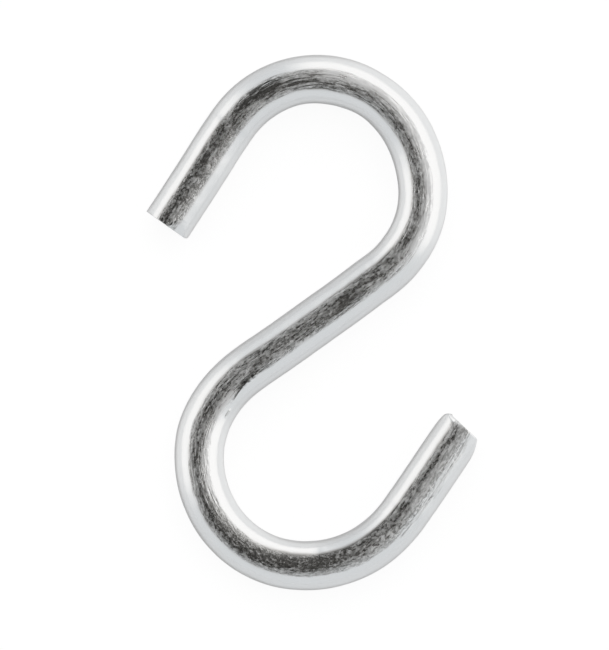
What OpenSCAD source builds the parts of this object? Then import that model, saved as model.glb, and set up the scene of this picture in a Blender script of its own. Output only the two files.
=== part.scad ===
// S hook: one length of round steel wire, bent cold into two open hooks that face
// opposite ways, then sheared off at both tips. It lies flat, with the wire's
// centreline parallel to XY and its length along Y, and the origin is under the
// middle of its bounding box.
//
// Each hook is bent on two radii: the heel is the bend beside the shank, and the nose
// is the bend beside the tip. The mouth side of a tip is the side that faces the shank.

/* [Wire] */
// Diameter of the round wire
wire_d = 5; // [3:0.1:7]
// How much bending draws the wire in round a heel, off its radius
heel_draw = 0.01; // [0.005:0.001:0.014]
// How much bending draws the wire in round a nose, which is worked further
nose_draw = 0.02; // [0.016:0.001:0.04]

/* [Shank] */
// Straight run between the two hooks
shank_len = 16.5; // [12:0.1:26]
// Slope of the shank, in degrees above +X
shank_angle = 35.5; // [25:0.5:45]

/* [Upper hook] */
// Inside radius of the upper heel
upper_heel_r = 8.7; // [6.5:0.1:12]
// Inside radius of the upper nose
upper_nose_r = 7.8; // [6:0.1:12]
// How far the wire turns round the upper nose, in degrees
upper_nose_turn = 88; // [40:1:120]
// Slope of the upper tip, in degrees above +X
upper_tip_angle = 57; // [45:0.5:70]
// Straight run of the upper tip, from its bend to the middle of its cut
upper_tip_len = 12.1; // [6:0.1:16]

/* [Lower hook] */
// Inside radius of the lower heel
lower_heel_r = 8.3; // [6.5:0.1:12]
// Inside radius of the lower nose
lower_nose_r = 10; // [6:0.1:12]
// How far the wire turns round the lower nose, in degrees
lower_nose_turn = 47; // [20:1:120]
// Slope of the lower tip, in degrees above +X
lower_tip_angle = 56; // [45:0.5:70]
// Straight run of the lower tip, from its bend to the middle of its cut
lower_tip_len = 10.5; // [6:0.1:14]

/* [Upper cut] */
// Lean of the cut, in degrees: its mouth side stands out further
upper_cut_lean = 2; // [0:0.5:12]
// Where the blade rolled the rim over, in degrees from the top towards the mouth
upper_roll_angle = 28; // [-30:1:45]
// How far the rolled rim reaches back from the cut
upper_roll_len = 1.3; // [0.4:0.1:2.5]
// Depth of the rolled rim at the cut
upper_roll_depth = 0.3; // [0.1:0.05:0.5]
// Rounding of the corner on the mouth side
upper_corner_r = 0.35; // [0.1:0.05:0.6]

/* [Lower cut] */
// Lean of the cut, in degrees: its mouth side stands out further
lower_cut_lean = 8.5; // [0:0.5:12]
// Where the blade rolled the rim over, in degrees from the top towards the mouth
lower_roll_angle = 24; // [-30:1:45]
// How far the rolled rim reaches back from the cut
lower_roll_len = 0.7; // [0.4:0.1:2.5]
// Depth of the rolled rim at the cut
lower_roll_depth = 0.3; // [0.1:0.05:0.5]
// Rounding of the corner on the mouth side
lower_corner_r = 0.9; // [0.1:0.05:1]
// How far the flanks that the blades squeezed reach back from the cut
lower_squeeze_len = 2.4; // [1:0.1:4]
// Depth of the squeezed flank at the cut, on the mouth side
lower_squeeze_mouth = 0.3; // [0.1:0.05:0.5]
// Depth of the squeezed flank at the cut, on the outer side
lower_squeeze_outer = 0.5; // [0.1:0.05:0.6]

/* [Hidden] */
$fn = 96;

wire_r = wire_d / 2;

// Radii of the wire's centreline round each bend
upper_heel = upper_heel_r + wire_r;
upper_nose = upper_nose_r + wire_r;
lower_heel = lower_heel_r + wire_r;
lower_nose = lower_nose_r + wire_r;

// Each tip comes back past the shank by half a turn and its own slope. The heel turns
// the wire by what the nose leaves over.
upper_heel_turn = 180 + upper_tip_angle - shank_angle - upper_nose_turn;
lower_heel_turn = 180 + lower_tip_angle - shank_angle - lower_nose_turn;

// Sides of a tip, in degrees round the wire from its top
MOUTH = 90;
OUTER = -90;

// A blade presses the wire in along an arc, "reach" back from the cut and "depth" down at it
function dent_radius(reach, depth) = (reach * reach + depth * depth) / (2 * depth);

// How far down such an arc is, a distance along it from its start
function pressed(along, radius) = radius - sqrt(radius * radius - along * along);

lower_mouth_level = wire_r - pressed(lower_squeeze_len - lower_corner_r,
                                     dent_radius(lower_squeeze_len, lower_squeeze_mouth));

// The dents of each cut: [side, reach, depth, distance from the centreline to the surface]
UPPER_DENTS = [
    [upper_roll_angle, upper_roll_len, upper_roll_depth, wire_r],
    [MOUTH, upper_corner_r, upper_corner_r, wire_r]
];
LOWER_DENTS = [
    [lower_roll_angle, lower_roll_len, lower_roll_depth, wire_r],
    [OUTER, lower_squeeze_len, lower_squeeze_outer, wire_r],
    [MOUTH, lower_squeeze_len, lower_squeeze_mouth, wire_r],
    [MOUTH, lower_corner_r, lower_corner_r, lower_mouth_level]
];

// How far a cutter stands past the metal that it takes away
CLEAR = 1;
// How much further than its turn a bend is drawn before it is cut off, in degrees
OVERRUN = 5;

// The middle of the hook's outline, seen from above with the middle of the shank at
// zero. Each hook leaves there in the direction "way" and turns left all along.
function toward(angle) = [cos(angle), sin(angle)];

function heel_centre(way, heel) = shank_len / 2 * toward(way) + heel * toward(way + 90);

function nose_centre(way, heel, heel_turn, nose) =
    heel_centre(way, heel) + (heel - nose) * toward(way + heel_turn - 90);

// Where an arc about a centre reaches furthest out along X and Y, if it does so at all.
// No arc here ends more than two turns round from +X.
function arc_reach(centre, radius, from, turn) = [
    for (compass = [0 : 90 : 2 * 360])
        if (compass >= from && compass <= from + turn) centre + radius * toward(compass)
];

// The ends of a cut, at the given distances from the wire's centreline
function cut_reach(middle, way, lean, to_mouth, to_outer) = [
    for (y = [to_mouth, -to_outer]) middle + y * toward(way + 90) + y * tan(lean) * toward(way)
];

function hook_reach(way, heel, heel_turn, nose, nose_turn, tip_len, lean, to_mouth, to_outer) =
    let (nose_at = nose_centre(way, heel, heel_turn, nose),
         nose_from = way + heel_turn - 90,
         tip_way = way + heel_turn + nose_turn,
         tip_at = nose_at + nose * toward(tip_way - 90) + tip_len * toward(tip_way))
    concat(
        arc_reach(heel_centre(way, heel), heel + wire_r - heel_draw, way - 90, heel_turn),
        arc_reach(nose_at, nose + wire_r - nose_draw, nose_from, nose_turn),
        cut_reach(tip_at, tip_way, lean, to_mouth, to_outer)
    );

REACH = concat(
    hook_reach(shank_angle, upper_heel, upper_heel_turn, upper_nose, upper_nose_turn,
               upper_tip_len, upper_cut_lean, wire_r - upper_corner_r, wire_r),
    hook_reach(shank_angle + 180, lower_heel, lower_heel_turn, lower_nose, lower_nose_turn,
               lower_tip_len, lower_cut_lean, lower_mouth_level - lower_corner_r,
               wire_r - lower_squeeze_outer)
);
XS = [for (p = REACH) p[0]];
YS = [for (p = REACH) p[1]];
MIDDLE = [(min(XS) + max(XS)) / 2, (min(YS) + max(YS)) / 2];

// Each stretch of wire starts at the origin and runs along +X, and what follows it is
// set out in the frame at its far end
module beyond_run(length) {
    translate([length, 0, 0]) children();
}

module beyond_bend(radius, turn) {
    translate([0, radius, 0]) rotate([0, 0, turn]) translate([0, -radius, 0]) children();
}

module run(length) {
    rotate([0, 90, 0]) cylinder(h = length, r = wire_r);
}

// A block over all of the wire ahead of the origin
module block_ahead() {
    side = wire_d + 2 * CLEAR;
    translate([0, -side / 2, -side / 2]) cube(side);
}

// A bend to the left, drawn too long and cut off in the frame where the next stretch
// starts, so that the two end faces lie in one plane
module bend(radius, turn, draw) {
    difference() {
        translate([0, radius, 0]) rotate([0, 0, -90])
            rotate_extrude(angle = turn + OVERRUN) translate([radius, 0]) circle(r = wire_r - draw);
        beyond_bend(radius, turn) block_ahead();
    }
}

// What a blade takes off one side of the wire, whose surface there is "level" away from
// the centreline. The lean brings the cut to a different length on each side.
module dent(length, lean, side, reach, depth, level) {
    radius = dent_radius(reach, depth);
    low = max(0, radius - 2 * depth);
    cut_at = length + wire_r * sin(side) * tan(lean);
    rotate([MOUTH - side, 0, 0])
        translate([cut_at - reach, level - radius, 0])
            linear_extrude(height = wire_d, center = true)
                difference() {
                    translate([0, low]) square([reach + CLEAR, radius - low + CLEAR]);
                    circle(r = radius);
                }
}

// A tip as the shear leaves it, with its mouth side along +Y
module sheared_tip(length, lean, dents) {
    difference() {
        run(length + wire_r * tan(lean));
        translate([length, 0, 0]) rotate([0, 0, -lean]) block_ahead();
        for (d = dents) dent(length, lean, d[0], d[1], d[2], d[3]);
    }
}

// Half the shank, then the heel, the nose and the tip
module half_hook(heel, heel_turn, nose, nose_turn, tip_len, lean, dents) {
    run(shank_len / 2);
    beyond_run(shank_len / 2) {
        bend(heel, heel_turn, heel_draw);
        beyond_bend(heel, heel_turn) {
            bend(nose, nose_turn, nose_draw);
            beyond_bend(nose, nose_turn) sheared_tip(tip_len, lean, dents);
        }
    }
}

module hook() {
    color("silver") translate([-MIDDLE[0], -MIDDLE[1], wire_r]) rotate([0, 0, shank_angle]) {
        half_hook(upper_heel, upper_heel_turn, upper_nose, upper_nose_turn,
                  upper_tip_len, upper_cut_lean, UPPER_DENTS);
        rotate([0, 0, 180])
            half_hook(lower_heel, lower_heel_turn, lower_nose, lower_nose_turn,
                      lower_tip_len, lower_cut_lean, LOWER_DENTS);
    }
}

hook();
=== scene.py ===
"""An S hook of zinc-plated steel wire that lies on a pale floor, seen from straight above.

The hook is one wire swept along its bends, with the ends that the shear left on it. It stands for
the CAD node "hook", whose driving sizes it repeats, and it is placed by that node's box.
"""

import logging
import math
from dataclasses import dataclass
from enum import Enum
from functools import reduce
from typing import Any, Callable, ClassVar, NamedTuple, Optional, Union

import bpy
import numpy as np
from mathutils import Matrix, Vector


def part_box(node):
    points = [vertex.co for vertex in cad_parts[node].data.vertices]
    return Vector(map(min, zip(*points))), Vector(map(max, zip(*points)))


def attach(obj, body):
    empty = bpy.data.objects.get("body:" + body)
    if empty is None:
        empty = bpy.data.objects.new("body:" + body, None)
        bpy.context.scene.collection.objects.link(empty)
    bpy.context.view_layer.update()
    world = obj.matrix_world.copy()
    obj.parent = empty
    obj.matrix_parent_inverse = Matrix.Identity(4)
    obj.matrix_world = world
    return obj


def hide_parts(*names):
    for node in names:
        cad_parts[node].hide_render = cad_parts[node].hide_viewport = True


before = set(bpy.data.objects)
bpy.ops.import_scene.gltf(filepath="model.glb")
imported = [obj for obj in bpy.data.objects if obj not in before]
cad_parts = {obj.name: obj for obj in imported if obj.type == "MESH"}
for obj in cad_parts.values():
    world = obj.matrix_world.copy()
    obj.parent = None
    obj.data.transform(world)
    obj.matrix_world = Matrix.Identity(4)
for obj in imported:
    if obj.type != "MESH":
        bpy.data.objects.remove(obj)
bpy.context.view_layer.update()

LOG = logging.getLogger("s_hook")
Array = np.ndarray
Pair = tuple[float, float]
Colour = tuple[float, float, float, float]
Node = bpy.types.Node
Socket = bpy.types.NodeSocket
Settings = Optional[dict[str, Any]]
Inputs = Optional[dict[Union[str, int], Any]]

MM = 0.001  # one millimetre in metres
WHITE = (1.0, 1.0, 1.0, 1.0)
CAD_NODE = "hook"
CAD_BODY = "root"


# ---- shader graph


def operators(operation: str) -> tuple[Callable, Callable]:
    """An operator of values and its reflected form, each of which adds a Math node.

    Args:
        operation: The Math node's operation.

    Returns:
        The operator and its reflected form.
    """

    def plain(self: "Value", other: Any) -> "Value":
        """The operation on this value and another."""
        return self.math(operation, self, other)

    def reflected(self: "Value", other: Any) -> "Value":
        """The operation on another value and this one."""
        return self.math(operation, other, self)

    return plain, reflected


class Value:
    """A shader socket that carries a number. Its operators add Math nodes to its graph."""

    __add__, __radd__ = operators("ADD")
    __sub__, __rsub__ = operators("SUBTRACT")
    __mul__, __rmul__ = operators("MULTIPLY")
    __truediv__, __rtruediv__ = operators("DIVIDE")

    def __init__(self, graph: "Graph", socket: Socket) -> None:
        """Wraps one output socket of a graph's node."""
        self.graph = graph
        self.socket = socket

    def math(self, operation: str, *operands: Any) -> "Value":
        """Adds one Math node with those operands, which are values or numbers."""
        inputs = dict(enumerate(operands))
        return self.graph.value("ShaderNodeMath", {"operation": operation}, inputs)

    def __abs__(self) -> "Value":
        """The value without its sign."""
        return self.math("ABSOLUTE", self)

    def above(self, floor: Any) -> "Value":
        """The larger of this value and floor."""
        return self.math("MAXIMUM", self, floor)

    def rise(self, start: float, end: float) -> "Value":
        """A smooth step.

        Args:
            start: Where it is 0.
            end: Where it is 1. It may lie below start, for a step down.

        Returns:
            The smooth step of this value.
        """
        if end < start:
            return 1.0 - self.rise(end, start)
        settings = {"interpolation_type": "SMOOTHSTEP"}
        inputs = {"Value": self, "From Min": start, "From Max": end}
        return self.graph.value("ShaderNodeMapRange", settings, inputs)

    def within(self, start: float, end: float, soft: float) -> "Value":
        """1 between start and end and 0 outside them, with a smooth step "soft" long at each."""
        half = soft / 2
        return self.rise(start - half, start + half) * self.rise(end + half, end - half)


class Graph:
    """The nodes of one material or world, cleared and filled again."""

    def __init__(self, owner: Union[bpy.types.Material, bpy.types.World]) -> None:
        """Takes over the node tree of a material or world."""
        owner.use_nodes = True
        self.tree = owner.node_tree
        self.tree.nodes.clear()

    def node(self, kind: str, settings: Settings = None, inputs: Inputs = None) -> Node:
        """Adds a node.

        Args:
            kind: The node's type.
            settings: Its properties, set before its sockets.
            inputs: What goes into its sockets, by name or index: a value, a socket or a constant.

        Returns:
            The node.
        """
        made = self.tree.nodes.new(kind)
        for name, setting in (settings or {}).items():
            setattr(made, name, setting)
        for name, given in (inputs or {}).items():
            given = given.socket if isinstance(given, Value) else given
            if isinstance(given, Socket):
                self.tree.links.new(given, made.inputs[name])
            else:
                made.inputs[name].default_value = given
        return made

    def value(self, kind: str, settings: Settings = None, inputs: Inputs = None) -> Value:
        """Adds a node, as node() does, and wraps its first output."""
        return Value(self, self.node(kind, settings, inputs).outputs[0])

    def mix_colour(self, share: Any, first: Any, second: Any) -> Socket:
        """Mixes a share of the second colour, from 0 to 1, into the first."""
        inputs = {0: share, 6: first, 7: second}
        return self.node("ShaderNodeMix", {"data_type": "RGBA"}, inputs).outputs[2]

    def surface(self, kind: str, shader: Node) -> None:
        """Makes a shader the surface of an output node of that type."""
        self.node(kind, None, {"Surface": shader.outputs[0]})

    def mix_shader(self, share: Any, first: Node, second: Node) -> Node:
        """Mixes a share of the second shader, from 0 to 1, into the first."""
        inputs = {0: share, 1: first.outputs[0], 2: second.outputs[0]}
        return self.node("ShaderNodeMixShader", None, inputs)

    def split(self, vector: Socket) -> tuple[Value, Value, Value]:
        """The three components of a vector, as values."""
        parts = self.node("ShaderNodeSeparateXYZ", None, {0: vector}).outputs
        return tuple(Value(self, part) for part in parts)


# ---- the wire's shape


ARC_SHARE = 0.98  # how much of a dent's arc is followed, short of where it stands upright
PAST_TIP = 1.0  # how far past its tip a half hook's centreline is worked out, in millimetres


class Side(Enum):
    """A side of a tip, in degrees round the wire from its top."""

    MOUTH = 90.0
    OUTER = -90.0


@dataclass(frozen=True)
class Dent:
    """What a blade pressed down on one side of a tip, along an arc that ends at the cut.

    Sizes are in millimetres. side is in degrees round the wire from its top towards the mouth,
    and level is how far the surface there stands from the centreline.
    """

    side: float
    reach: float
    depth: float
    level: float

    @property
    def radius(self) -> float:
        """The radius R of the arc: (reach² + depth²) / (2 depth)."""
        return (self.reach**2 + self.depth**2) / (2 * self.depth)

    def pressed(self, past: Any) -> Any:
        """How far down the arc is at a distance past its start: R - sqrt(R² - past²)."""
        return self.radius - np.sqrt(self.radius**2 - past**2)

    def press(
        self, along: Array, across: Array, up: Array, cut_at: float, soft: float
    ) -> tuple[Array, Array]:
        """Moves points that stand above the pressed surface down to it, along the dent's side.

        A point's height is its offset's component along the side. The pressed surface lies "level"
        high, and from "reach" before the cut it drops along the arc to "depth" down at the cut.
        The lower of the two heights is taken, rounded by "soft".

        Args:
            along: Distances along the tip.
            across: Offsets towards the mouth.
            up: Offsets upwards.
            cut_at: Where the cut is on this side.
            soft: The rounding of the dent's edge.

        Returns:
            The new across and up.
        """
        side = math.radians(self.side)
        past = np.clip(along - (cut_at - self.reach), 0.0, ARC_SHARE * self.radius)
        surface = self.level - self.pressed(past)
        height = across * math.sin(side) + up * math.cos(side)
        mixed = np.clip(0.5 + 0.5 * (surface - height) / soft, 0.0, 1.0)
        lower = surface + (height - surface) * mixed - soft * mixed * (1 - mixed)
        lower = np.where(along > cut_at - self.reach - soft, np.minimum(lower, height), height)
        drop = height - lower
        return across - drop * math.sin(side), up - drop * math.cos(side)


@dataclass(frozen=True)
class TornFace:
    """A sheared face: dragged smooth on the side that the blade came in on, and torn beyond.

    tear is how far the torn part stands back, in millimetres. It starts torn_from wire radii in
    and is full torn_over radii further in. grain and lines are the relief of the torn part and of
    the smooth part, as shares of the tear, and they grow over the first share rim of the way in.
    """

    tear: float = 0.035
    torn_from: float = 0.8
    torn_over: float = 0.5
    grain: float = 0.7
    lines: float = 0.3
    rim: float = 0.25

    def relief(self, inward: Array, beside: Array, scale: Array, wire_r: float) -> Array:
        """How far the face stands back from its plane, by sine waves in radians for each mm.

        The grain is a product of two waves and the lines are one, and slower waves sway both.

        Args:
            inward: Distances in from the blade's side.
            beside: Distances sideways from the middle.
            scale: Each ring's size beside the rim's.
            wire_r: The wire's radius.

        Returns:
            The relief.
        """
        torn = np.clip((inward - self.torn_from * wire_r) / (self.torn_over * wire_r), 0.0, 1.0)
        swayed = np.sin(5.1 * beside + 1.3 * np.sin(2.3 * inward))
        grain = swayed * np.sin(3.7 * inward + 1.1 * beside)
        lines = self.lines * np.sin(9.0 * beside + 2.0 * np.sin(3.1 * beside))
        grown = np.clip((1 - scale) / self.rim, 0.0, 1.0)
        return self.tear * grown * (torn * (1.0 + self.grain * grain) + (1 - torn) * lines)


@dataclass(frozen=True)
class Tip:
    """The straight end of a hook and the cut that the shear made.

    lean is how far the cut leans, in degrees, with its mouth side out. The blade came in on the
    first dent's side. edge is the radius of the rim. Lengths are in millimetres.
    """

    length: float
    lean: float
    dents: tuple[Dent, ...]
    edge: float = 0.07
    face: TornFace = TornFace()


@dataclass(frozen=True)
class Bend:
    """A bend of the wire to the left.

    inside is its inside radius in millimetres and turn is in degrees. thicken is how much it
    upsets the section: the wire grows thicker inside the bend and thinner outside.
    """

    inside: float
    turn: float
    thicken: float


@dataclass(frozen=True)
class Kink:
    """A small departure of the bent wire from its plan, smooth and at one place.

    at is the distance from the middle of the shank, spread is how far it reaches, shift moves the
    wire to its left, and widen is what it adds to the wire's width. All are in millimetres.
    """

    at: float
    spread: float
    shift: float
    widen: float = 0.0

    def weight(self, along: Array) -> Array:
        """A bell curve round the kink's place: exp(-(distance / spread)²)."""
        return np.exp(-(((along - self.at) / self.spread) ** 2))


@dataclass(frozen=True)
class Flat:
    """A shallow flat that the bending tools pressed into the top of the wire.

    at is the distance from the middle of the shank, spread is how far it reaches along the wire,
    side is how far to the left its middle lies, half is how far it reaches to each side, and depth
    is how deep its middle is. All are in millimetres.
    """

    at: float
    spread: float
    side: float
    half: float
    depth: float

    def drop(self, along: Array, across: Array) -> Array:
        """How far the surface is pressed down: the depth times a bell curve along and across."""
        reach = ((along - self.at) / self.spread) ** 2 + ((across - self.side) / self.half) ** 2
        return self.depth * np.exp(-reach)


def run_total(steps: Array, rates: Array) -> Array:
    """The running integral of rates over steps by the trapezium rule, from zero."""
    return np.concatenate([[0.0], np.cumsum(np.diff(steps) * (rates[1:] + rates[:-1]) / 2)])


@dataclass
class HalfHook:
    """Half the shank, then a heel, a nose and a tip. It leaves the middle of the shank at zero.

    Its frame at each place is the way it runs, the left of that way, which is the mouth side, and
    up. ease is the length over which its curvature changes, and step is the distance between the
    places where its centreline is worked out. Sizes are in millimetres, and way is in degrees.
    """

    way: float
    shank: float
    wire_r: float
    heel: Bend
    nose: Bend
    tip: Tip
    kinks: tuple[Kink, ...] = ()
    flats: tuple[Flat, ...] = ()
    ease: float = 0.7
    step: float = 0.02

    def __post_init__(self) -> None:
        """Works out the centreline."""
        runs = self.run_lengths()
        self.length = sum(runs)
        self.along = np.arange(0.0, self.length + PAST_TIP, self.step)
        heel = 1 / (self.heel.inside + self.wire_r)
        nose = 1 / (self.nose.inside + self.wire_r)
        self.upset = self._eased(runs, heel * self.heel.thicken, nose * self.nose.thicken)
        heading = math.radians(self.way) + run_total(self.along, self._eased(runs, heel, nose))
        run_x, run_y = (run_total(self.along, part) for part in (np.cos(heading), np.sin(heading)))
        self.centre = np.stack([run_x, run_y], 1)
        self.left = np.stack([-np.sin(heading), np.cos(heading)], 1)

    def run_lengths(self) -> tuple[float, float, float, float]:
        """The lengths of the half shank, the heel, the nose and the tip, on the centreline."""
        heel = (self.heel.inside + self.wire_r) * math.radians(self.heel.turn)
        nose = (self.nose.inside + self.wire_r) * math.radians(self.nose.turn)
        return self.shank, heel, nose, self.tip.length

    def _eased(self, runs: tuple[float, ...], heel: float, nose: float) -> Array:
        """A quantity that has one value along each bend and is zero along the straight runs.

        Each change is eased: a step is a logistic curve about "ease" long.

        Args:
            runs: The lengths of the four runs.
            heel: Its value along the heel.
            nose: Its value along the nose.

        Returns:
            Its value at each of the half hook's distances.
        """
        heel_at, nose_at, tip_at = np.cumsum(runs)[:3]
        rise = [(heel_at, heel), (nose_at, nose - heel), (tip_at, -nose)]
        return sum(jump / (1 + np.exp(-(self.along - at) * 4 / self.ease)) for at, jump in rise)

    def place(self, along: Array, across: Array, up: Array) -> Array:
        """Points given along the wire, across it to the left, and up.

        Each is the centreline's point there, plus "across" times the left of the way, plus "up"
        along Z. Kinks shift and widen the wire. Bending upsets its section: the height grows by
        "thicken" times the curvature times the offset to the left, which is the inside. The flats
        are pressed into its top.

        Args:
            along: Distances from the middle of the shank.
            across: Offsets to the left.
            up: Offsets upwards.

        Returns:
            The points, as an array whose last axis is X, Y and Z.
        """
        shift = sum((k.shift * k.weight(along) for k in self.kinks), np.zeros_like(along))
        widen = sum((k.widen * k.weight(along) for k in self.kinks), np.zeros_like(along))
        offset = across * (1 + widen / (2 * self.wire_r)) + shift
        lean = np.interp(along, self.along, self.upset)
        up = up * (1 + lean * across) / (1 + (lean * self.wire_r) ** 2 / 2)
        pressed = sum((f.drop(along, across) for f in self.flats), np.zeros_like(along))
        up = up - pressed * np.clip(up / self.wire_r, 0.0, 1.0)
        flat = [
            np.interp(along, self.along, self.centre[:, axis])
            + offset * np.interp(along, self.along, self.left[:, axis])
            for axis in (0, 1)
        ]
        return np.stack([*flat, up], -1)


@dataclass(frozen=True)
class Relief:
    """Low relief of a drawn and plated surface, as smoothed noise on a grid.

    depth is its standard deviation, and along and round are the size of its blotches, all in
    millimetres. band is where its spectrum falls off, in waves for each blotch.
    """

    depth: float
    along: float
    round: float
    seed: int
    band: float = 0.6

    def on_grid(self, rows: int, columns: int, step: float, turn: float) -> Array:
        """Noise that repeats round the wire.

        White noise is filtered in its spectrum by the frequency times a bell curve of it, so that
        its blotches are about "along" long and "round" wide, and it is then scaled to "depth".

        Args:
            rows: The number of rings.
            columns: The number of points in a ring.
            step: The distance between rings.
            turn: The distance between the points of a ring.

        Returns:
            The heights, one for each grid point.
        """
        white = np.random.default_rng(self.seed).standard_normal((rows, columns))
        lengthwise = np.fft.fftfreq(rows, step)[:, None] * self.along
        sideways = np.fft.fftfreq(columns, turn)[None, :] * self.round
        reach = np.hypot(lengthwise, sideways)
        band = reach * np.exp(-((reach / self.band) ** 2))
        made = np.fft.ifft2(np.fft.fft2(white) * band).real
        return made * self.depth / made.std()


@dataclass
class Hook:
    """The whole hook as one wire. Sizes are in millimetres, and repeat the CAD model's.

    The thickened bends, the reliefs, the kinks and the flats are what the wire has beyond them.
    ring_step is the distance between rings on the bends, and sides is the points in a ring.
    """

    wire_d: float = 5.0
    shank_len: float = 16.5
    shank_angle: float = 35.5
    upper_heel_r: float = 8.7
    upper_nose_r: float = 7.8
    upper_nose_turn: float = 88.0
    upper_tip_angle: float = 57.0
    upper_tip_len: float = 12.1
    upper_cut_lean: float = 2.0
    lower_heel_r: float = 8.3
    lower_nose_r: float = 10.0
    lower_nose_turn: float = 47.0
    lower_tip_angle: float = 56.0
    lower_tip_len: float = 10.5
    lower_cut_lean: float = 8.5
    lower_corner_r: float = 0.9
    heel_thicken: float = 0.15
    nose_thicken: float = 0.42
    ring_step: float = 0.17
    sides: int = 96
    reliefs: tuple[Relief, ...] = (
        Relief(depth=0.004, along=2.4, round=1.4, seed=7),
        Relief(depth=0.0016, along=0.9, round=0.6, seed=11),
    )
    upper_kinks: tuple[Kink, ...] = (
        Kink(8.1, 2.2, 0.08),
        Kink(15.6, 3.0, -0.10),
        Kink(22.0, 3.0, 0.06, 0.06),
        Kink(29.8, 2.5, -0.04, -0.16),
        Kink(37.8, 2.5, -0.03, -0.10),
        Kink(48.5, 2.0, -0.05),
    )
    lower_kinks: tuple[Kink, ...] = (
        Kink(7.0, 2.2, -0.07),
        Kink(15.6, 2.5, -0.08, 0.08),
        Kink(23.0, 2.5, 0.04),
        Kink(35.5, 3.0, 0.06),
        Kink(46.0, 2.5, 0.05, -0.02),
    )
    upper_flats: tuple[Flat, ...] = (Flat(51.0, 8.0, 0.2, 1.2, 0.08),)
    lower_flats: tuple[Flat, ...] = (
        Flat(9.2, 2.0, 0.75, 0.6, 0.03),
        Flat(28.5, 8.0, 0.45, 1.0, 0.13),
    )

    def __post_init__(self) -> None:
        """Works out the two half hooks."""
        self.wire_r = self.wire_d / 2
        upper_turn = 180 + self.upper_tip_angle - self.shank_angle - self.upper_nose_turn
        lower_turn = 180 + self.lower_tip_angle - self.shank_angle - self.lower_nose_turn
        self.upper = HalfHook(
            self.shank_angle, self.shank_len / 2, self.wire_r,
            Bend(self.upper_heel_r, upper_turn, self.heel_thicken),
            Bend(self.upper_nose_r, self.upper_nose_turn, self.nose_thicken),
            Tip(self.upper_tip_len, self.upper_cut_lean, self._upper_dents()),
            self.upper_kinks, self.upper_flats,
        )
        self.lower = HalfHook(
            self.shank_angle + 180, self.shank_len / 2, self.wire_r,
            Bend(self.lower_heel_r, lower_turn, self.heel_thicken),
            Bend(self.lower_nose_r, self.lower_nose_turn, self.nose_thicken),
            Tip(self.lower_tip_len, self.lower_cut_lean, self._lower_dents()),
            self.lower_kinks, self.lower_flats,
        )

    def _upper_dents(self) -> tuple[Dent, ...]:
        """The rolled rim, the rounded corner and the dragged outer edge of the upper cut."""
        return (
            Dent(side=28.0, reach=1.3, depth=0.3, level=self.wire_r),
            Dent(side=Side.MOUTH.value, reach=0.35, depth=0.35, level=self.wire_r),
            Dent(side=-62.0, reach=0.45, depth=0.12, level=self.wire_r),
        )

    def _lower_dents(self) -> tuple[Dent, ...]:
        """The rolled rim, the two squeezed flanks and the rounded corner of the lower cut."""
        corner = self.lower_corner_r
        mouth = Dent(side=Side.MOUTH.value, reach=2.4, depth=0.3, level=self.wire_r)
        level = self.wire_r - mouth.pressed(mouth.reach - corner)
        return (
            Dent(side=24.0, reach=0.7, depth=0.3, level=self.wire_r),
            Dent(side=Side.OUTER.value, reach=2.6, depth=0.6, level=self.wire_r),
            mouth,
            Dent(side=Side.MOUTH.value, reach=corner, depth=corner, level=level),
        )

    def build(self) -> bpy.types.Object:
        """Makes the hook's object in its finish.

        Returns:
            The object, in the scene.
        """
        made = closed_tube("plated_wire", WireBuilder(self).build())
        made.data.materials.append(ZincPlate().material())
        # The inside of a bend mirrors the studio, and not the wire across from it
        made.visible_glossy = False
        return made


class WireMesh(NamedTuple):
    """Rings of points round the wire, from the upper end to the lower, with what the finish reads.

    points is in metres in the hook's own frame. wire holds each point's place on the straightened
    wire, in millimetres: to the left, up, and along from the middle of the shank. face is 1 on a
    cut face and 0 on the drawn surface.
    """

    points: Array
    wire: Array
    face: Array


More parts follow.
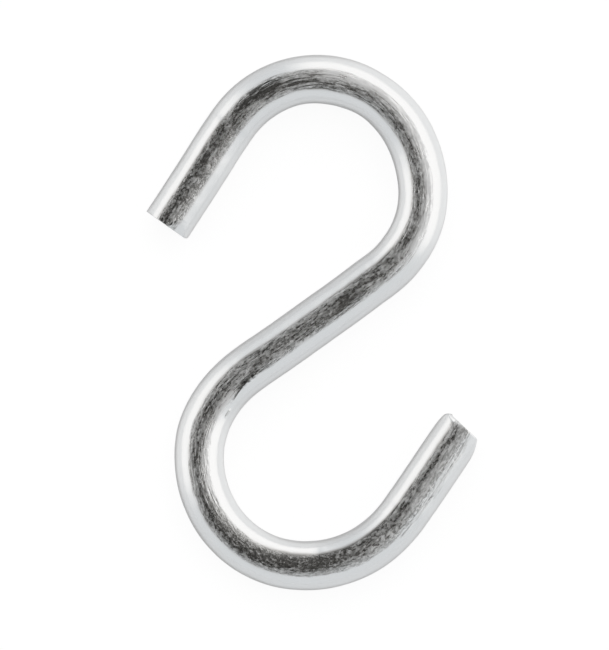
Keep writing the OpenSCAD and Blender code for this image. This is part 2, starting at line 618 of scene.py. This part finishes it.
@dataclass
class WireBuilder:
    """Builds the hook's mesh: rings along each half hook, with the tips cut, rolled and closed.

    The last fine_reach of each half has rings fine_step apart, which come to lean as the cut does.
    edge_rings draw in at the rim, and face_rings cover the cut face. soft is the rounding of a
    dent's edge. The relief's grid has rows relief_step apart and reaches relief_spare past the
    wire. Above relief_top of its height it is worn level with the full radius. Sizes are in
    millimetres.
    """

    hook: Hook
    fine_reach: float = 4.2
    fine_step: float = 0.07
    edge_rings: int = 5
    face_rings: int = 14
    soft: float = 0.08
    relief_step: float = 0.1
    relief_spare: float = 2.0
    relief_top: float = 0.6

    def _setbacks(self, half: HalfHook) -> Array:
        """Each ring's distance back from the cut: coarse on the bends, fine near the cut."""
        reach, edge = self.fine_reach, half.tip.edge
        coarse_count = max(2, round((half.length - reach) / self.hook.ring_step))
        coarse = np.linspace(half.length, reach, coarse_count, False)
        fine = np.linspace(reach, edge, round((reach - edge) / self.fine_step), False)
        rim = edge * (1 - np.sin(np.linspace(0, math.pi / 2, self.edge_rings)))
        return np.concatenate([coarse, fine, rim])

    def _relief(self, along: Array, mirrored: bool) -> Array:
        """The drawn surface's relief: the weighted mean of two rows of one grid for all the wire.

        Args:
            along: Distances from the middle of the shank, with one row for each ring.
            mirrored: True on the upper half, whose left is the whole wire's right.

        Returns:
            How far each point lies under the wire's full radius.
        """
        hook, step = self.hook, self.relief_step
        reach = max(hook.upper.length, hook.lower.length) + self.relief_spare
        rows = int(2 * reach / step)
        turn = hook.wire_r * 2 * math.pi / hook.sides
        grid = sum(relief.on_grid(rows, hook.sides, step, turn) for relief in hook.reliefs)
        grid = np.clip(grid.max() * self.relief_top - grid, 0.0, None)
        row = (-along if mirrored else along) / step + rows / 2
        low = row.astype(int)
        share = row - low
        column = np.broadcast_to(np.arange(hook.sides), along.shape)
        if mirrored:
            column = (-column) % hook.sides
        return grid[low, column] * (1 - share) + grid[low + 1, column] * share

    def _shell(self, half: HalfHook, mirrored: bool) -> tuple[Array, Array, Array]:
        """The wire's outside: distances along, and offsets to the mouth side and up.

        A ring is a circle of the wire's radius, less its relief. Near the tip it leans as the cut
        does, the dents are pressed into it, and the last rings draw in along a quarter circle.

        Args:
            half: The half hook.
            mirrored: True on the upper half.

        Returns:
            Three arrays with one row for each ring.
        """
        tip = half.tip
        back = self._setbacks(half)[:, None]
        turn = np.arange(self.hook.sides) * 2 * math.pi / self.hook.sides
        across = np.broadcast_to(half.wire_r * np.sin(turn), (len(back), len(turn)))
        up = np.broadcast_to(half.wire_r * np.cos(turn), across.shape)
        lean = math.tan(math.radians(tip.lean))
        follow = np.clip(1 - (back - tip.edge) / self.fine_reach, 0.0, 1.0)
        follow = follow * follow * (3 - 2 * follow)
        along = half.length - back + across * lean * follow
        shrink = 1 - self._relief(along, mirrored) / half.wire_r
        across, up = across * shrink, up * shrink
        for dent in tip.dents:
            cut_at = half.length + half.wire_r * math.sin(math.radians(dent.side)) * lean
            across, up = dent.press(along, across, up, cut_at, self.soft)
        into_rim = np.clip(tip.edge - back, 0, None)
        inset = tip.edge - np.sqrt(np.clip(tip.edge**2 - into_rim**2, 0, None))
        size = np.hypot(across, up)
        return along, across * (1 - inset / size), up * (1 - inset / size)

    def _face(self, half: HalfHook, rim: tuple[Array, ...]) -> tuple[Array, Array, Array]:
        """The cut face: rings that shrink from the rim to the middle, on the leaning plane.

        Args:
            half: The half hook.
            rim: The shell's last ring.

        Returns:
            Three arrays with one row for each ring, the last of which is a point.
        """
        scale = np.linspace(1.0, 0.0, self.face_rings + 1)[1:, None]
        across, up = scale * rim[1][None], scale * rim[2][None]
        side = math.radians(half.tip.dents[0].side)
        inward = half.wire_r - (across * math.sin(side) + up * math.cos(side))
        beside = across * math.cos(side) - up * math.sin(side)
        relief = half.tip.face.relief(inward, beside, scale, half.wire_r)
        lean = math.tan(math.radians(half.tip.lean))
        return half.length + across * lean - relief, across, up

    def half(self, half: HalfHook, mirrored: bool) -> WireMesh:
        """One half hook with its closed end.

        Args:
            half: The half hook.
            mirrored: True on the upper half, which is then turned round, so that both halves have
                the same left and their rings run the same way.

        Returns:
            Its rings, from the middle of the shank to the tip, or the other way if mirrored. The
            points are in millimetres.
        """
        shell = self._shell(half, mirrored)
        face = self._face(half, tuple(part[-1] for part in shell))
        along, across, up = (np.concatenate(pair) for pair in zip(shell, face))
        points = half.place(along, across, up)
        on_face = np.zeros_like(along)
        on_face[len(shell[0]) - 2:] = 1.0
        sign = -1.0 if mirrored else 1.0
        wire = np.stack([sign * across, up, sign * along], -1)
        if mirrored:
            turned = (-np.arange(self.hook.sides)) % self.hook.sides
            points, wire, on_face = (part[::-1][:, turned] for part in (points, wire, on_face))
        return WireMesh(points, wire, on_face)

    def build(self) -> WireMesh:
        """The whole wire, moved so that its box has the same middle and foot as the CAD node's.

        Returns:
            The rings, from the upper end to the lower, in metres.
        """
        halves = zip(self.half(self.hook.upper, True), self.half(self.hook.lower, False))
        points, wire, face = (np.concatenate([upper, lower[1:]]) for upper, lower in halves)
        points *= MM
        low, high = (np.array(corner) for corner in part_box(CAD_NODE))
        found = points.reshape(-1, 3)
        move = (low + high) / 2 - (found.min(0) + found.max(0)) / 2
        move[2] = low[2] - found[:, 2].min()
        return WireMesh(points + move, wire, face)


def added(name: str, data: bpy.types.ID) -> bpy.types.Object:
    """A new object with that name and data, linked to the scene."""
    made = bpy.data.objects.new(name, data)
    bpy.context.scene.collection.objects.link(made)
    return made


def closed_tube(name: str, rings: WireMesh) -> bpy.types.Object:
    """Makes a mesh object of rings whose first and last are poles.

    Neighbouring rings are joined by quads, and each pole to the ring beside it by triangles. The
    corners run so that the faces point outwards.

    Args:
        name: The object's name.
        rings: The rings and what the finish reads on them.

    Returns:
        The object, in the scene.
    """
    count, sides = rings.points.shape[:2]
    inner = slice(1, count - 1)

    def listed(grid: Array) -> Array:
        """The first pole, every ring's points, then the last pole."""
        middle = grid[inner].reshape(-1, *grid.shape[2:])
        return np.concatenate([grid[:1, 0], middle, grid[-1:, 0]])

    points = listed(rings.points)
    start = 1 + np.arange(count - 3)[:, None] * sides
    here = np.arange(sides)[None, :]
    after = (here + 1) % sides
    quads = np.stack([start + here, start + sides + here, start + sides + after, start + after], -1)
    first, last = 0, len(points) - 1
    end = 1 + (count - 3) * sides
    fan_in = np.stack([np.full(sides, first), 1 + here[0], 1 + after[0]], -1)
    fan_out = np.stack([end + after[0], end + here[0], np.full(sides, last)], -1)
    faces = [part.tolist() for part in (quads.reshape(-1, 4), fan_in, fan_out)]

    mesh = bpy.data.meshes.new(name)
    mesh.from_pydata(points.tolist(), [], sum(faces, []))
    mesh.shade_smooth()
    wire = mesh.attributes.new("wire", "FLOAT_VECTOR", "POINT")
    wire.data.foreach_set("vector", listed(rings.wire).astype(np.float32).ravel())
    face = mesh.attributes.new("face", "FLOAT", "POINT")
    face.data.foreach_set("value", listed(rings.face).astype(np.float32))
    return added(name, mesh)


# ---- finishes


@dataclass(frozen=True)
class Blotch:
    """Noise on the wire. along and round are the size of one blotch of it, in millimetres.

    detail is how many finer layers it has, and coarse is how strong each is beside the one before.
    """

    along: float
    round: float
    detail: float
    coarse: float = 0.5

    def noise(self, graph: Graph, wire: Socket) -> Value:
        """The noise, around 0.5, of the wire's coordinates divided by the blotch's size.

        Args:
            graph: The graph that asks.
            wire: The place on the straightened wire, in millimetres.

        Returns:
            The noise.
        """
        inputs = {0: wire, 1: (1 / self.round, 1 / self.round, 1 / self.along)}
        place = graph.node("ShaderNodeVectorMath", {"operation": "MULTIPLY"}, inputs).outputs[0]
        inputs = {"Vector": place, "Scale": 1.0, "Detail": self.detail, "Roughness": self.coarse}
        return graph.value("ShaderNodeTexNoise", {"noise_dimensions": "3D"}, inputs)


@dataclass(frozen=True)
class Mark:
    """A long narrow mark on the wire's upper side.

    start and end are distances from the middle of the shank, side is how far to the left of the
    centreline it lies halfway, slant is how far it drifts to the left over each millimetre, and
    half is half its width. All are in millimetres. FADE is the share of its length over which it
    sets in, and runs out, and CORE is the share of its width that has no soft edge.
    """

    FADE: ClassVar[float]
    CORE: ClassVar[float]

    start: float
    end: float
    side: float
    slant: float
    half: float

    def shape(self, across: Value, along: Value) -> Value:
        """1 in the mark's middle and 0 outside: a smooth step across times one at each end.

        Args:
            across: How far to the left of the centreline the place is.
            along: Its distance from the middle of the shank.

        Returns:
            The shape.
        """
        middle = (self.start + self.end) / 2
        fade = self.FADE * (self.end - self.start)
        off = abs(across - (along - middle) * self.slant - self.side)
        length = along.rise(self.start, self.start + fade) * along.rise(self.end, self.end - fade)
        return off.rise(self.half, self.CORE * self.half) * length


@dataclass(frozen=True)
class Score(Mark):
    """A thin line that a tool cut into the plating.

    deep is its depth in millimetres, and is negative for a raised burr.
    """

    FADE: ClassVar[float] = 0.3
    CORE: ClassVar[float] = 0.0

    deep: float

    def height(self, across: Value, along: Value) -> Value:
        """How far the score stands from the surface, in millimetres."""
        return self.shape(across, along) * -self.deep


@dataclass(frozen=True)
class PaintedShadeMark(Mark):
    """A dark mark painted into the scuffed strip, mottled as the strip is: painted shade that
    copies the dark reflection of a crease or groove.

    amount is how much of the metal it covers.
    """

    FADE: ClassVar[float] = 0.35
    CORE: ClassVar[float] = 0.3

    amount: float

    def cover(self, across: Value, along: Value) -> Value:
        """How much of the metal the painted shade covers: most in its middle, and less towards its
        edges.
        """
        return self.shape(across, along) * self.amount


SOFT_END = 3.0  # how long each soft end of a stretch of the finish is, in millimetres


@dataclass(frozen=True)
class Wear:
    """A stretch of the scuffed strip that is polished further than the rest, or less if negative.

    start, end, side, half and CORE are as a mark's.
    """

    CORE: ClassVar[float] = 0.25

    start: float
    end: float
    side: float
    half: float
    amount: float

    def at(self, across: Value, along: Value) -> Value:
        """The wear's amount inside its stretch, which fades out at its edges."""
        width = abs(across - self.side).rise(self.half, self.CORE * self.half)
        return width * along.within(self.start, self.end, SOFT_END) * self.amount


def along_any(along: Value, stretches: tuple[Pair, ...]) -> Value:
    """1 in any of the stretches and 0 elsewhere, with soft ends: the largest of their windows."""
    return reduce(Value.above, (along.within(start, end, SOFT_END) for start, end in stretches))


@dataclass(frozen=True)
class ZincPlate:
    """Bright zinc over drawn steel wire, scuffed where the bending tools pressed on it.

    The wire is smooth on its flanks. Along its top and its underside, where it lay between the
    plates of the bender, small matt flecks stand on polished metal. A darker mottle is painted into
    the colour there: painted shade that stands in for the dark flecks in the reflection of the
    overhead gap. The strip reaches scuff_half to each side, where it is full and where it ends, and
    patch makes its edge wander. The wire slid round a bend where it is streaked, which drew the
    flecks and their relief out, and where it is lined only the flecks. Where it is unmottled, the
    left of the strip has no painted mottle. It was dragged over an edge inside the steps
    dragged_along and dragged_across.

    Lengths are in millimetres, and places along the wire start at the middle of the shank. Each
    pair that ends in "from" is where a noise starts to count and where it counts in full.
    """

    metal: Colour = (0.80, 0.80, 0.80, 1.0)
    # Painted shade: the darker colour mottled into the scuffed strip, for the dark flecks in the
    # reflection of the overhead gap
    painted_mottle_colour: Colour = (0.48, 0.48, 0.475, 1.0)
    # Painted shade: the colour of the dark marks, which copy dark reflections of creases and
    # grooves
    painted_mark_colour: Colour = (0.09, 0.09, 0.085, 1.0)
    flank: float = 0.22
    polished: float = 0.17
    matt: float = 0.74
    fleck: Blotch = Blotch(0.46, 0.22, 3.0, 0.75)
    streak: Blotch = Blotch(1.7, 0.15, 2.0, 0.6)
    # The noise of the painted shade mottle
    painted_mottle: Blotch = Blotch(0.4, 0.16, 2.0, 0.7)
    patch: Blotch = Blotch(1.8, 0.6, 1.0)
    swell: Blotch = Blotch(4.0, 0.9, 0.0)
    matt_from: Pair = (0.36, 0.70)
    # Where the painted shade mottle starts and where it is full
    painted_mottle_from: Pair = (0.62, 0.36)
    # Where the painted dark marks start to show in the flecks and where they show in full
    painted_mark_from: Pair = (0.6, 0.42)
    streak_share: float = 0.35
    patch_share: float = 0.3
    fleck_depth: float = 0.04
    fleck_drawn: float = 0.5
    streak_depth: float = 0.05
    swell_depth: float = 0.02
    flank_depth: float = 0.08
    dragged_depth: float = 0.7
    scuff_half: Pair = (0.92, 1.12)
    scuff_wander: float = 0.5
    upper_side: Pair = (0.0, 0.5)
    streaked: tuple[Pair, ...] = ((-46.0, 24.0), (46.0, 60.0))
    lined: tuple[Pair, ...] = ((-43.0, -27.0),)
    # Stretches where no shade mottle is painted on the left of the strip
    unmottled: tuple[Pair, ...] = ((-36.0, -9.0), (10.0, 23.0))
    unmottled_side: Pair = (0.0, 0.5)
    dragged_along: tuple[Pair, Pair] = ((44.0, 46.0), (57.0, 56.0))
    dragged_across: tuple[Pair, Pair] = ((-1.75, -1.5), (-0.9, -1.1))
    wear: tuple[Wear, ...] = (
        Wear(-60.0, -57.6, 0.6, 0.8, 0.15),
        Wear(-57.0, -45.0, 0.15, 1.25, 0.05),
        Wear(-57.5, -46.0, -0.6, 0.6, 0.06),
        Wear(-44.4, -39.9, 0.5, 0.8, 0.15),
        Wear(-35.0, -13.0, 0.4, 0.8, -0.07),
        Wear(-6.0, -3.2, 0.2, 1.1, 0.15),
        Wear(-6.4, 1.6, 0.6, 0.5, 0.07),
        Wear(6.8, 9.2, 0.82, 0.42, 0.28),
        Wear(23.0, 39.0, 0.35, 1.1, 0.13),
        Wear(47.5, 58.0, -0.3, 0.7, -0.13),
        Wear(46.0, 58.0, -0.85, 0.32, 0.4),
    )
    scores: tuple[Score, ...] = (
        Score(6.4, 10.2, 1.0, 0.07, 0.36, -0.035),
        Score(8.2, 11.6, 1.2, 0.15, 0.15, -0.03),
        Score(12.0, 13.4, 1.6, 0.0, 0.12, -0.05),
        Score(44.6, 47.6, -1.35, 0.03, 0.2, -0.03),
        Score(45.0, 59.4, -1.1, 0.01, 0.5, 0.05),
    )
    # Painted shade marks: dark reflections of creases and grooves, painted into the colour on the
    # top
    painted_shade_marks: tuple[PaintedShadeMark, ...] = (
        PaintedShadeMark(-58.6, -57.0, -0.42, -0.6, 0.2, 0.8),
        PaintedShadeMark(-44.5, -38.5, 0.78, -0.05, 0.22, 0.7),
        PaintedShadeMark(4.2, 6.5, -0.62, 0.0, 0.18, 0.6),
        PaintedShadeMark(6.4, 10.0, 0.86, 0.06, 0.36, 1.1),
        PaintedShadeMark(9.2, 11.7, 1.12, 0.13, 0.14, 0.9),
        PaintedShadeMark(24.0, 36.0, 0.2, -0.02, 0.8, 0.6),
        PaintedShadeMark(45.0, 47.3, -1.2, 0.0, 0.12, 0.4),
        PaintedShadeMark(49.0, 50.8, -1.25, 0.0, 0.16, 0.6),
        PaintedShadeMark(49.5, 52.0, -1.6, 0.0, 0.1, 0.3),
        PaintedShadeMark(51.5, 57.5, -1.16, 0.01, 0.1, 0.4),
        PaintedShadeMark(45.5, 52.5, 0.62, 0.0, 0.2, 0.35),
        PaintedShadeMark(55.2, 58.0, 0.42, -0.02, 0.2, 0.6),
    )

    def material(self) -> bpy.types.Material:
        """Builds the material.

        Returns:
            The material.
        """
        made = bpy.data.materials.new("zinc_plate")
        graph = Graph(made)
        wire = graph.node("ShaderNodeAttribute", {"attribute_name": "wire"}).outputs["Vector"]
        face = graph.node("ShaderNodeAttribute", {"attribute_name": "face"}).outputs["Fac"]
        across, up, along = graph.split(wire)
        upper = up.rise(*self.upper_side)
        blotches = (self.fleck, self.streak, self.painted_mottle, self.patch, self.swell)
        fleck, streak, painted_mottle, patch, swell = (blotch.noise(graph, wire) for blotch in blotches)
        streaky = along_any(along, self.streaked)
        lined = along_any(along, self.lined)
        wandered = abs(across + (patch - 0.5) * self.scuff_wander)
        scuffed = wandered.rise(*reversed(self.scuff_half)).above(face)

        worn = sum(wear.at(across, along) for wear in self.wear)
        grain = fleck + (streak - fleck) * ((streaky + lined) * self.streak_share)
        matt = (grain + (patch - 0.5) * self.patch_share - worn).rise(*self.matt_from)
        extra = matt * (self.matt - self.polished) + (self.polished - self.flank)
        roughness = self.flank + scuffed * extra

        rough = self.flank_depth + scuffed * (1 - self.flank_depth)
        rough = rough + self._dragged(across, along) * upper * self.dragged_depth
        height = (
            rough * (fleck - 0.5) * (1.0 - streaky * self.fleck_drawn) * self.fleck_depth
            + rough * (streak - 0.5) * streaky * self.streak_depth
            + swell * self.swell_depth
            + sum(score.height(across, along) for score in self.scores) * upper
        )
        inputs = {"Strength": 1.0, "Distance": MM, "Height": height}
        normal = graph.node("ShaderNodeBump", None, inputs).outputs[0]

        # Painted shade: a darker mottle along the scuffed strip, for the dark flecks in the
        # reflection of the overhead gap
        unmottled = along_any(along, self.unmottled) * across.rise(*self.unmottled_side)
        painted_mottled = scuffed * painted_mottle.rise(*self.painted_mottle_from) * (1.0 - unmottled)
        # Painted shade: dark marks on the top, for the dark reflections of creases and grooves
        painted_mark_cover = sum(painted_mark.cover(across, along) for painted_mark in self.painted_shade_marks)
        painted_marks = painted_mark_cover * upper * fleck.rise(*self.painted_mark_from)
        colour = graph.mix_colour(painted_mottled, self.metal, self.painted_mottle_colour)
        colour = graph.mix_colour(painted_marks, colour, self.painted_mark_colour)

        inputs = {"Base Color": colour, "Metallic": 1.0, "Roughness": roughness, "Normal": normal}
        shader = graph.node("ShaderNodeBsdfPrincipled", None, inputs)
        graph.surface("ShaderNodeOutputMaterial", shader)
        return made

    def _dragged(self, across: Value, along: Value) -> Value:
        """1 where the wire was dragged over an edge: a smooth step on each of the four sides."""
        steps = [along.rise(*step) for step in self.dragged_along]
        steps += [across.rise(*step) for step in self.dragged_across]
        return reduce(Value.__mul__, steps)


# ---- studio


@dataclass(frozen=True)
class Softbox:
    """A softbox as it shows in the wire: a stretch of azimuths, in degrees from +X towards +Y."""

    start: float
    end: float
    soft: float

    def window(self, azimuth: Value) -> Value:
        """1 in the softbox's stretch and 0 outside.

        Args:
            azimuth: The direction's azimuth, from -180 to 180 degrees. The stretch may cross 180.

        Returns:
            The window.
        """
        if self.end <= 180:
            return azimuth.within(self.start, self.end, self.soft)
        half, end = self.soft / 2, self.end - 360
        rise = azimuth.rise(self.start - half, self.start + half)
        return rise.above(azimuth.rise(end + half, end - half))


@dataclass(frozen=True)
class Surround:
    """White walls all round, with a softbox on the right and one on the left, by azimuth."""

    wall: float = 0.82
    right: float = 1.2
    left: float = 1.17
    wall_tint: Colour = (0.97, 1.0, 1.02, 1.0)
    box_tint: Colour = (1.003, 1.0, 0.993, 1.0)
    right_box: Softbox = Softbox(-30.0, 101.0, 10.0)
    left_box: Softbox = Softbox(131.0, 198.0, 20.0)

    def light(self, graph: Graph, x: Value, y: Value) -> tuple[Socket, Value]:
        """What shines from the side that X and Y point to.

        Args:
            graph: The graph that asks.
            x: X of the way.
            y: Y of the way.

        Returns:
            Its colour and its strength.
        """
        azimuth = y.math("ARCTAN2", y, x) * math.degrees(1.0)
        right, left = self.right_box.window(azimuth), self.left_box.window(azimuth)
        more = (right * (self.right - self.wall)).above(left * (self.left - self.wall))
        tint = graph.mix_colour(right.above(left), self.wall_tint, self.box_tint)
        return tint, self.wall + more


@dataclass(frozen=True)
class PaleFloor:
    """A white floor that shows as plain white, apart from a faint shadow of the object.

    shown is how much of what the camera sees there is plain white, and it is a shade over white to
    make up for the matt share. The metal sees the floor at a low angle, as a pale satin surface
    that the walls shine in, and mirrored is how much of the rest is plain white there.
    """

    matt: Colour = (0.9, 0.9, 0.9, 1.0)
    shown: float = 0.9
    mirrored: float = 0.5
    white: float = 1.02
    satin: float = 0.55
    satin_white: Colour = (0.93, 0.95, 0.965, 1.0)
    satin_rough: float = 0.35

    def material(self) -> bpy.types.Material:
        """Builds the material.

        Returns:
            The material: matt white, with plain white or satin in its place by kind of ray.
        """
        made = bpy.data.materials.new("pale_floor")
        graph = Graph(made)
        path = graph.node("ShaderNodeLightPath")
        glossy = Value(graph, path.outputs["Is Glossy Ray"])
        whitened = Value(graph, path.outputs["Is Camera Ray"]) * self.shown + glossy * self.mirrored
        matt = graph.node("ShaderNodeBsdfDiffuse", None, {"Color": self.matt})
        plain = graph.node("ShaderNodeEmission", None, {"Color": WHITE, "Strength": self.white})
        inputs = {"Color": self.satin_white, "Roughness": self.satin_rough}
        satin = graph.node("ShaderNodeBsdfAnisotropic", {"distribution": "GGX"}, inputs)
        both = graph.mix_shader(glossy * self.satin, graph.mix_shader(whitened, matt, plain), satin)
        graph.surface("ShaderNodeOutputMaterial", both)
        return made


@dataclass(frozen=True)
class Studio:
    """A white studio with an open dark gap overhead, a softbox on each side and a pale floor.

    An overhead place is the X over Z and the Y over Z of the direction to it, as on a flat
    ceiling, and lowest_z keeps it finite. Each of the gap's edges is the pair of places where it
    starts and where it is full. The right edge swings out where Y is lower than minus swing_from
    times X, and the bottom edge swings in to the right of the middle. gap is its strength, and
    gap_glow is added to that past glow_edge. Lengths are in metres, and angles in degrees.
    """

    surround: Surround = Surround()
    gap_tint: Colour = (1.03, 1.0, 0.94, 1.0)
    gap: float = 0.03
    gap_glow: float = 0.05
    glow_edge: Pair = (-0.7, 0.6)
    gap_left: Pair = (-1.45, -0.65)
    gap_right: Pair = (0.58, 0.04)
    gap_top: Pair = (1.75, 0.75)
    gap_bottom: Pair = (-1.18, -0.68)
    swing_from: float = 0.5
    swing_out: float = 5.0
    swing_in: float = 0.4
    lowest_z: float = 0.02
    horizon: Pair = (0.0, 0.1)
    floor_half: float = 1.2
    key_strength: float = 1.7
    key_angle: float = 70.0
    key_turn: Pair = (-30.0, -8.0)

    def build(self) -> None:
        """Makes the world, the key lamp and the floor."""
        self._world()
        self._key()
        self._floor()

    def _world(self) -> None:
        """The walls, the softboxes and the gap, by direction. The camera sees plain white."""
        world = bpy.data.worlds.new("studio")
        bpy.context.scene.world = world
        graph = Graph(world)
        x, y, z = graph.split(graph.node("ShaderNodeTexCoord").outputs["Generated"])
        tint, side_light = self.surround.light(graph, x, y)
        over_x, over_y = x / z.above(self.lowest_z), y / z.above(self.lowest_z)
        dark = self._gap(over_x, over_y) * z.rise(*self.horizon)
        glow = self.gap + over_x.rise(*self.glow_edge) * self.gap_glow
        light = side_light * (1.0 - dark) + dark * glow
        tint = graph.mix_colour(dark, tint, self.gap_tint)
        studio = graph.node("ShaderNodeBackground", None, {"Color": tint, "Strength": light})
        white = graph.node("ShaderNodeBackground", None, {"Color": WHITE, "Strength": 1.0})
        path = graph.node("ShaderNodeLightPath")
        both = graph.mix_shader(path.outputs["Is Camera Ray"], studio, white)
        graph.surface("ShaderNodeOutputWorld", both)

    def _gap(self, over_x: Value, over_y: Value) -> Value:
        """The overhead gap: 1 inside its four edges and 0 outside.

        Args:
            over_x: X over Z of the direction.
            over_y: Y over Z of the direction.

        Returns:
            The gap.
        """
        below = (over_x * -self.swing_from - over_y).above(0.0)
        from_right = over_x - below * self.swing_out
        from_bottom = over_y - over_x.above(0.0) * self.swing_in
        beside = over_x.rise(*self.gap_left) * from_right.rise(*self.gap_right)
        return beside * over_y.rise(*self.gap_top) * from_bottom.rise(*self.gap_bottom)

    def _key(self) -> None:
        """A wide soft lamp from the upper left, which casts the soft shadow on the floor."""
        lamp = bpy.data.lights.new("key", "SUN")
        lamp.energy = self.key_strength
        lamp.angle = math.radians(self.key_angle)
        made = added("key", lamp)
        made.rotation_euler = (*map(math.radians, self.key_turn), 0.0)
        made.visible_glossy = False

    def _floor(self) -> None:
        """The floor that the hook lies on."""
        half = self.floor_half
        mesh = bpy.data.meshes.new("floor")
        corners = [(-half, -half, 0), (half, -half, 0), (half, half, 0), (-half, half, 0)]
        mesh.from_pydata(corners, [], [(0, 1, 2, 3)])
        mesh.materials.append(PaleFloor().material())
        floor = added("floor", mesh)


@dataclass(frozen=True)
class Camera:
    """A long lens that looks straight down, with +Y up in its view. Lengths are in metres."""

    lens_mm: float = 600.0
    sensor_mm: float = 36.0
    view_height: float = 0.0659
    aim: Pair = (-0.000757, -0.000248)
    focus_height: float = 0.0025
    clip: Pair = (0.01, 10.0)

    def build(self) -> None:
        """Makes the camera, as high as the view's height at the wire's middle asks for."""
        data = bpy.data.cameras.new("camera")
        data.lens = self.lens_mm
        data.sensor_width = self.sensor_mm
        data.clip_start, data.clip_end = self.clip
        made = added("camera", data)
        rise = self.view_height * self.lens_mm / self.sensor_mm
        made.location = (*self.aim, self.focus_height + rise)
        bpy.context.scene.camera = made


# ---- the whole


def main() -> None:
    """Builds the camera, the studio and the hook."""
    bpy.context.scene.view_settings.view_transform = "Standard"
    Camera().build()
    Studio().build()
    hook = Hook().build()
    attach(hook, CAD_BODY)
    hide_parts(CAD_NODE)
    mesh = hook.data
    LOG.info("%s: %d vertices, %d faces", hook.name, len(mesh.vertices), len(mesh.polygons))


if __name__ == "__main__":
    logging.basicConfig(level=logging.INFO)
    main()
